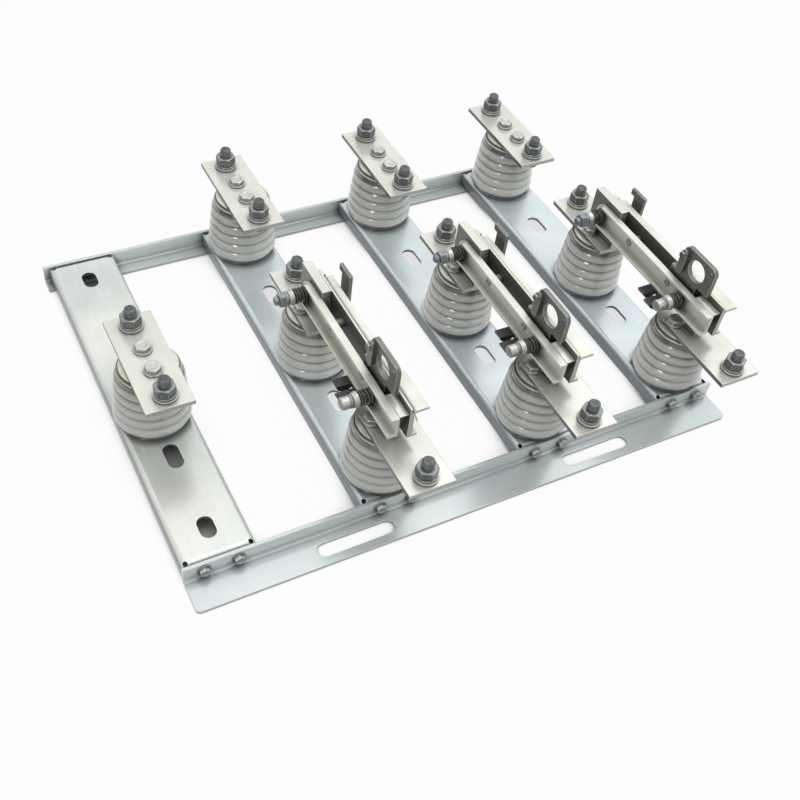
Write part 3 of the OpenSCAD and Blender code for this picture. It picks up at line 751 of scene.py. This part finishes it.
stud_top = box_mm("bar_studs")[1][2]
bar_ends, terminal_ends = ("_front_stud", "_back_stud"), ("_hinge_stud", "_contact_stud")
for name, endings in (("bar_studs", bar_ends), ("terminal_studs", terminal_ends)):
    group = [mount for key, mount in mounts.items() if key.endswith(endings)]
    grey, dark, bright = [], [], []
    for mount in group:
        x, y, _ = np.array(mount["pos_m"]) * MM
        nut, stud, washers = stud_skins(x, y, 2 * mount["dims"]["r_mm"], stud_top)
        grey += nut
        dark += stud
        bright += washers
    piece(f"nuts_of_{name}", grey, "frame", bolt_steel, [name])
    piece(f"threaded_{name}", dark, "frame", thread_steel)
    piece(f"{name}_washers", bright, "frame", bright_steel)

# %% [markdown]
# Two bright bolts hold each bar to its post. On the neutral and rear bars they lie one behind the
# other, and on the hinge and contact bars they lie on either side of the upright lug. They are
# all alike, so one function makes a bolt and two lines set them out. Each head has a shallow
# dish, which a plain hexagon would lack.

# %% Bright bolts on the bars
BOLT_ACROSS, BOLT_H, BOLT_SPREAD = 12.0, 4.2, 12.5
BAR_WASHER_R, BAR_WASHER_T, BAR_BORE_R, BOLT_DISH = 7.8, 1.5, 4.2, 0.5
bolt_top = BAR_WASHER_T + BOLT_H
bolt_head = shell(hexagon(BOLT_ACROSS, BAR_WASHER_T, bolt_top, False, True, dish=BOLT_DISH))
bolt_washer = washer(BAR_BORE_R, BAR_WASHER_R, 0.0, BAR_WASHER_T)


def bar_bolt(x, y):
    """A hexagon head with a dish, on a flat washer, standing on the bar."""
    return [put(skin, (x, y, bar_top)) for skin in (bolt_washer, bolt_head)]


in_line = post_rows["insulator_neutral"] + post_rows["insulators_rear"]
abreast = post_rows["insulators_hinge"] + post_rows["insulators_contact"]
skins = [s for x, y in in_line for side in (-1, 1) for s in bar_bolt(x, y + side * BOLT_SPREAD)]
skins += [s for x, y in abreast for side in (-1, 1) for s in bar_bolt(x + side * BOLT_SPREAD, y)]
piece("bar_bolts", skins, "frame", bright_steel)

# %% [markdown]
# The channels are bolted to the rails through their end tabs, two bolts at each end. The heads
# show on the outer face of each rail, and the nuts sit inside the channel. They are made standing
# up, as the other bolts are, and laid down by a turn, so that no new function is needed.

# %% Rail bolts
RAIL_BOLT_X, RAIL_BOLT_DROP, RAIL_BOLT_ACROSS, SHEET = 14.0, 7.5, 8.0, 3.0
RAIL_WASHER_T, RAIL_HEAD_TOP, RAIL_NUT_TOP, RAIL_DISH = 1.0, 4.2, 4.6, 0.4
rail_bolt_z = channel_top - RAIL_BOLT_DROP
rail_head = shell(
    hexagon(RAIL_BOLT_ACROSS, RAIL_WASHER_T, RAIL_HEAD_TOP, False, True, dish=RAIL_DISH))
rail_nut = shell(hexagon(RAIL_BOLT_ACROSS, 0.1, RAIL_NUT_TOP, True, True))
rail_washer = washer(3.2, 5.4, 0.0, RAIL_WASHER_T)
skins, washers = [], []
for x in channel_x:
    for side in (-1, 1):
        bolt_x = x + side * RAIL_BOLT_X
        for end_y, out_sign, out, inward in ((front_y, -1, "-y", "+y"), (rear_y, 1, "+y", "-y")):
            outer_face = (bolt_x, end_y + out_sign * SHEET, rail_bolt_z)
            inner_face = (bolt_x, end_y - out_sign * SHEET, rail_bolt_z)
            washers.append(put(rail_washer, outer_face, out))
            skins += [put(rail_head, outer_face, out), put(rail_nut, inner_face, inward)]
piece("rail_bolts", skins, "frame", bright_steel)
piece("rail_bolt_washers", washers, "frame", bolt_steel)

# %% [markdown]
# Each pole's two cross bolts press the blades together with coil springs on the left. A stack of
# rings would nearly do, but the slant of the turns shows from the side. So a spring is a round
# wire carried along a helix, with its end turns lying flat against the washers.

# %% Coil springs
WIRE, SPRING_TURNS, WASHER_T = 2.2, 4.6, 1.5
ROWS_PER_TURN, WIRE_STEPS, FLAT_END = 30, 12, 0.09


def coil(outer, wire, length, turns):
    """A round wire along a helix that climbs slowly at both ends, where its turns lie flat."""
    t = np.linspace(0, 1, int(turns * ROWS_PER_TURN))[:, None]
    share = t - FLAT_END * np.sin(2 * np.pi * t)
    turn = 2 * np.pi * turns * t
    mid_r = (outer - wire) / 2
    round_wire = np.linspace(0, -2 * np.pi, WIRE_STEPS, endpoint=False)[None, :]
    radius = mid_r + wire / 2 * np.cos(round_wire)
    height = wire / 2 + (length - wire) * share + wire / 2 * np.sin(round_wire)
    return shell(np.stack([radius * np.cos(turn), radius * np.sin(turn), height], -1))


bolt_y = {n: (pivots[n][1], middle(f"clamp_bolt_{n}")[1]) for n in POLES}
spring_low, spring_high = box_mm("blade_springs_1")
web_left = blade_x[1] - spring_high[0]
spring_len = spring_high[0] - spring_low[0]
spring_d = spring_high[2] - spring_low[2]
spring = coil(spring_d, WIRE, spring_len - WASHER_T, SPRING_TURNS)
for n in POLES:
    x, z = blade_x[n] - web_left - WASHER_T, pivots[n][2]
    skins = [put(spring, (x, y, z), "-x") for y in bolt_y[n]]
    piece(f"coil_springs_{n}", skins, f"blade_{n}", spring_steel,
          [f"blade_springs_{n}"])

# %% [markdown]
# On each cross bolt, beyond the left web, come a washer, the spring, a silver cup and a ring. The
# pivot bolt ends in a hexagon nut with its thread showing, and the clamp bolt in a round button.
# One function could make either bolt whole, but the cups and the button are bright, so only the
# grey pieces are stacked together.

# %% Cross bolts
def round_end(radius, low, high, ease):
    """A turned button: straight sides and a round shoulder, nearly flat on top."""
    bend = np.linspace(0, np.pi / 2, 6)
    shoulder = np.column_stack(
        [radius - ease + ease * np.cos(bend), high - ease + ease * np.sin(bend)])
    return shell(lathe(np.vstack([[(radius - 0.3, low), (radius, low + 0.3)], shoulder]), 48))


def cup(inner, outer, low, high):
    """A pressed cup: a wide mouth towards the spring that narrows to a neck."""
    outline = [(inner, low + 0.8), (outer - 0.6, low), (outer, low + 0.4), (outer, low + 1.4),
               (outer - 1.0, high - 0.8), (outer - 2.2, high), (inner, high)]
    return ring(lathe(outline, 48))


HEAD_H, CUP_T, CUP_R, BORE_R = 5.2, 5.0, 6.9, 4.2
CROSS_D, CROSS_PITCH, CROSS_ACROSS = 8.0, 1.25, 11.0
PIVOT_RING_R, PIVOT_RING_T, END_NUT_T, PIVOT_END = 6.2, 1.8, 5.8, 11.2
CLAMP_RING_R, CLAMP_RING_T, CLAMP_END = 5.6, 2.0, 3.0
BUTTON_R, BUTTON_H, BUTTON_EASE = 5.2, 7.4, 1.5
web_right = box_mm("pivot_bolt_1")[1][0] - blade_x[1] - HEAD_H
cup_end = spring_len + CUP_T
thread_start = -web_left - web_right - 1.0


def on_left(n, y):
    """The place on the left web where a cross bolt comes through."""
    return blade_x[n] - web_left, y, pivots[n][2]


def cross_bolt(n, y, ring_r, ring_t, end):
    """A washer on the left web, a ring beyond the cup, a thread right through, and the head.

    The end is how far the thread stands out beyond the cup.
    """
    skins = [
        washer(BORE_R, CUP_R, 0.0, WASHER_T),
        washer(BORE_R, ring_r, cup_end, cup_end + ring_t),
        shell(thread(CROSS_D, CROSS_PITCH, thread_start, cup_end + end)),
    ]
    head = shell(hexagon(CROSS_ACROSS, 0.0, HEAD_H, False, True))
    right = (blade_x[n] + web_right, y, pivots[n][2])
    return [put(skin, on_left(n, y), "-x") for skin in skins] + [put(head, right, "+x")]


nut_start, button_start = cup_end + PIVOT_RING_T, cup_end + CLAMP_RING_T
end_nut = shell(hexagon(CROSS_ACROSS, nut_start, nut_start + END_NUT_T, True, True))
spring_cup = cup(BORE_R + 0.1, CUP_R, spring_len, cup_end)
end_button = round_end(BUTTON_R, button_start, button_start + BUTTON_H, BUTTON_EASE)
for n in POLES:
    body = f"blade_{n}"
    pivot_y, clamp_y = bolt_y[n]
    pivot_skins = cross_bolt(n, pivot_y, PIVOT_RING_R, PIVOT_RING_T, PIVOT_END)
    pivot_skins.append(put(end_nut, on_left(n, pivot_y), "-x"))
    piece(f"pivot_stack_{n}", pivot_skins, body, bolt_steel, [f"pivot_bolt_{n}"])
    clamp_skins = cross_bolt(n, clamp_y, CLAMP_RING_R, CLAMP_RING_T, CLAMP_END)
    piece(f"clamp_stack_{n}", clamp_skins, body, bolt_steel, [f"clamp_bolt_{n}"])
    bright = [put(spring_cup, on_left(n, y), "-x") for y in bolt_y[n]]
    bright.append(put(end_button, on_left(n, clamp_y), "-x"))
    piece(f"spring_cups_{n}", bright, body, bright_steel)

# %% [markdown]
# Hollow rivets close over the spacers between the blades, and show as small rings with a dark
# middle on both webs. Flat discs would read as stickers, so the rim is half round and drops into
# a hole. The pull eye has a small bolt through the latch arm and a domed rivet at its front.

# %% Rivets and latch bolts
RIVET_R, RIVET_RISE, SPACER_R = 3.2, 1.2, 4.0
PIN_R, PIN_RISE, ARM_BOLT_ACROSS, ARM_BOLT_H = 2.2, 1.2, 6.0, 2.6
PIN_INSET, PIN_DROP, ARM_BOLT_DROP = 4.5, 6.0, 4.5


def dome(radius, rise):
    """A cap of a ball: the radius falls as the height climbs along a quarter turn."""
    bend = np.linspace(0, np.pi / 2 - 0.12, 7)
    outline = np.column_stack([radius * np.cos(bend), rise * np.sin(bend)])
    return shell(lathe(np.vstack([[(radius, -0.5)], outline]), 32))


def hollow_rivet(radius, rise):
    """A half-round rim from the outside over the top, which then drops into a narrow hole."""
    bend = np.linspace(0, np.pi, 11)
    rim, middle_r = 0.28 * radius, 0.72 * radius
    outline = np.column_stack([middle_r + rim * np.cos(bend), rise * np.sin(bend)])
    hole = middle_r - rim
    floor_of_hole = [(hole - 0.1, -0.3), (hole - 0.5, -0.4)]
    return shell(lathe(np.vstack([[(radius, -0.5)], outline, floor_of_hole]), 32))


rivet, pin_head = hollow_rivet(RIVET_R, RIVET_RISE), dome(PIN_R, PIN_RISE)
arm_bolt = shell(hexagon(ARM_BOLT_ACROSS, 0.0, ARM_BOLT_H, False, True))
for n in POLES:
    body, (x, y, z) = f"blade_{n}", pivots[n]
    low, high = box_mm(f"blade_spacers_{n}")
    skins = []
    for spacer_y in (low[1] + SPACER_R, high[1] - SPACER_R):
        skins.append(put(rivet, (x - web_left, spacer_y, z), "-x"))
        skins.append(put(rivet, (x + web_right, spacer_y, z), "+x"))
    piece(f"blade_rivets_{n}", skins, body, bright_steel)
    arm_low, arm_high = box_mm(f"latch_arm_{n}")
    arm_y = (arm_low[1] + arm_high[1]) / 2
    spot = (arm_low[0], arm_y, arm_high[2] - ARM_BOLT_DROP)
    eye_low, eye_high = box_mm(f"pull_eye_{n}")
    front = (eye_low[0], eye_low[1] + PIN_INSET, eye_high[2] - PIN_DROP)
    skins = [put(arm_bolt, spot, "-x"), put(pin_head, front, "-x"),
             put(pin_head, (eye_high[0], *front[1:]), "+x")]
    piece(f"latch_bolts_{n}", skins, body, bolt_steel)

# %% [markdown]
# The studio floor is a sheet of paper. To the eye it is plain white, except where little of the
# sky reaches it, under the channels and close to the rails: there it keeps its own shaded tone
# under the neutral channel and near the rails, while under the poles most of its white glow stays
# on in the shade, a painted light. To the light it is grey, so that it doesn't flood the part from
# below.

# %% Floor
FLOOR_HALF, SKY_REACH, PAPER_GREY = 8.0, 0.09, 0.25
# Painted light: under the poles, the floor keeps most of its white glow where it is shaded.
NEUTRAL_END = {"From Min": -0.18, "From Max": -0.12, "To Max": 0.72}
BETWEEN_RAILS = {"From Min": 0.15, "From Max": 0.12}
OPEN_TO_SKY = {"From Min": 0.12, "From Max": 0.6, "To Max": 0.97}


def seen_as_white(tree):
    """1 for a ray from the camera, from gloss or through glass, and 0 for light on its way."""
    path = add_node(tree, "ShaderNodeLightPath")
    best = path.outputs["Is Camera Ray"]
    for kind in ("Is Glossy Ray", "Is Transmission Ray"):
        larger = add_node(tree, "ShaderNodeMath", operation="MAXIMUM")
        tree.links.new(best, larger.inputs[0])
        tree.links.new(path.outputs[kind], larger.inputs[1])
        best = larger.outputs[0]
    return best


floor_mesh = bpy.data.meshes.new("floor")
corner_signs = ((-1, -1), (1, -1), (1, 1), (-1, 1))
corners = [(FLOOR_HALF * a, FLOOR_HALF * b, 0) for a, b in corner_signs]
floor_mesh.from_pydata(corners, [], [(0, 1, 2, 3)])
floor = bpy.data.objects.new("floor", floor_mesh)
scene.collection.objects.link(floor)
paper = bpy.data.materials.new("pale paper")
paper.use_nodes = True
tree = paper.node_tree
tree.nodes.clear()
wire = tree.links.new
matte = add_node(tree, "ShaderNodeBsdfDiffuse", {"Color": (*[PAPER_GREY] * 3, 1.0)})
white = add_node(tree, "ShaderNodeEmission", {"Color": (1.0, 1.0, 1.0, 1.0), "Strength": 1.0})
open_sky = add_node(tree, "ShaderNodeAmbientOcclusion", {"Distance": SKY_REACH}, samples=16)
place = add_node(tree, "ShaderNodeTexCoord")
axes = add_node(tree, "ShaderNodeSeparateXYZ")
light_end = add_node(tree, "ShaderNodeMapRange", NEUTRAL_END)
depth = add_node(tree, "ShaderNodeMath", operation="ABSOLUTE")
inside = add_node(tree, "ShaderNodeMapRange", BETWEEN_RAILS)
both = add_node(tree, "ShaderNodeMath", operation="MULTIPLY")
part = add_node(tree, "ShaderNodeMapRange", OPEN_TO_SKY)
share = add_node(tree, "ShaderNodeMath", operation="MULTIPLY")
mixed = add_node(tree, "ShaderNodeMixShader")
sheet_out = add_node(tree, "ShaderNodeOutputMaterial")
wire(place.outputs["Object"], axes.inputs[0])
wire(axes.outputs["X"], light_end.inputs["Value"])
wire(axes.outputs["Y"], depth.inputs[0])
wire(depth.outputs[0], inside.inputs["Value"])
wire(light_end.outputs[0], both.inputs[0])
wire(inside.outputs[0], both.inputs[1])
wire(both.outputs[0], part.inputs["To Min"])
wire(open_sky.outputs["AO"], part.inputs["Value"])
wire(seen_as_white(tree), share.inputs[0])
wire(part.outputs[0], share.inputs[1])
wire(share.outputs[0], mixed.inputs[0])
wire(matte.outputs[0], mixed.inputs[1])
wire(white.outputs[0], mixed.inputs[2])
wire(mixed.outputs[0], sheet_out.inputs["Surface"])
floor_mesh.materials.append(paper)
print("floor half width:", FLOOR_HALF, "m")

# %% [markdown]
# The sky is white to the eye as well. As light it is brightest high up over the right end and
# falls off on all sides, so that upward faces are bright and the faces towards the picture are
# darker. A panorama could light the part too, but a formula needs no image.

# %% Sky
SKY_TOP = (0.28, 0.24, 0.93)
SKY_FALL = {"From Min": 0.0, "From Max": 0.9, "To Min": 0.10, "To Max": 1.25}
world = bpy.data.worlds.new("studio")
world.use_nodes = True
scene.world = world
tree = world.node_tree
wire = tree.links.new
sky = tree.nodes["Background"]
sky.inputs["Color"].default_value = (1.0, 1.0, 0.99, 1.0)
outward = add_node(tree, "ShaderNodeTexCoord")
towards = add_node(tree, "ShaderNodeVectorMath", {1: SKY_TOP}, operation="DOT_PRODUCT")
glow = add_node(tree, "ShaderNodeMapRange", SKY_FALL, interpolation_type="SMOOTHSTEP")
strength = add_node(tree, "ShaderNodeMath", operation="MAXIMUM")
wire(outward.outputs["Generated"], towards.inputs[0])
wire(towards.outputs["Value"], glow.inputs["Value"])
wire(seen_as_white(tree), strength.inputs[0])
wire(glow.outputs[0], strength.inputs[1])
wire(strength.outputs[0], sky.inputs["Strength"])
print("sky strength:", SKY_FALL["To Min"], "to", SKY_FALL["To Max"])

# %% [markdown]
# The sky alone would leave the metal flat, so two lamps help it. A wide one overhead at the right
# gives bars and channels their sheen, and a small one at the left front puts glints on nuts and
# glaze.

# %% Lamps
def lamp(name, place, aim, size, power):
    """A square soft lamp at a place, turned towards a point."""
    light = bpy.data.lights.new(name, "AREA")
    light.size, light.energy = size, power
    made = bpy.data.objects.new(name, light)
    scene.collection.objects.link(made)
    back = np.array(place) - np.array(aim)
    back = back / np.linalg.norm(back)
    right = np.cross((0.0, 1.0, 0.001), back)
    right = right / np.linalg.norm(right)
    turn = np.column_stack([right, np.cross(back, right), back])
    made.matrix_world = Matrix.Translation(place) @ Matrix(turn.tolist()).to_4x4()


lamp("overhead", (0.75, 0.1, 2.0), (0, 0, 0), 2.0, 16)
lamp("glint", (-1.2, -0.9, 1.2), (0, 0, 0.05), 0.4, 4)
print("lamps:", len(bpy.data.lights))

# %% [markdown]
# The camera stands where the picture was taken from, to the left of the contact side and high up,
# and leans a little to one side. It could be set by eye, but its place, its three angles and its
# lens were fitted, so that the part's corners fall close to where the picture has them.

# %% Camera
AZIMUTH, ELEVATION, ROLL = (math.radians(a) for a in (-34.36, 47.74, -9.21))
FOCAL_PX, FRAME_PX, SENSOR = 1060.8, 800.0, 36.0
CAMERA_PLACE = (-0.3769, -0.5953, 0.7060)
back = np.array([math.sin(AZIMUTH) * math.cos(ELEVATION),
                 -math.cos(AZIMUTH) * math.cos(ELEVATION), math.sin(ELEVATION)])
level = np.cross(-back, (0, 0, 1))
level = level / np.linalg.norm(level)
down = np.cross(-back, level)
right = math.cos(ROLL) * level + math.sin(ROLL) * down
down = -math.sin(ROLL) * level + math.cos(ROLL) * down
turn = np.column_stack([right, -down, back])
lens = bpy.data.cameras.new("portrait")
lens.sensor_width = SENSOR
lens.lens = FOCAL_PX / FRAME_PX * SENSOR
lens.clip_start, lens.clip_end = 0.01, 50.0
camera = bpy.data.objects.new("portrait", lens)
scene.collection.objects.link(camera)
camera.matrix_world = Matrix.Translation(CAMERA_PLACE) @ Matrix(turn.tolist()).to_4x4()
scene.camera = camera
scene.view_settings.view_transform = "Standard"
print("lens", round(lens.lens, 2), "mm")

# %% [markdown]
# The dressed part has to keep the size of the solids. At the end the scene is brought up to date.

# %% Finish
bpy.context.view_layer.update()
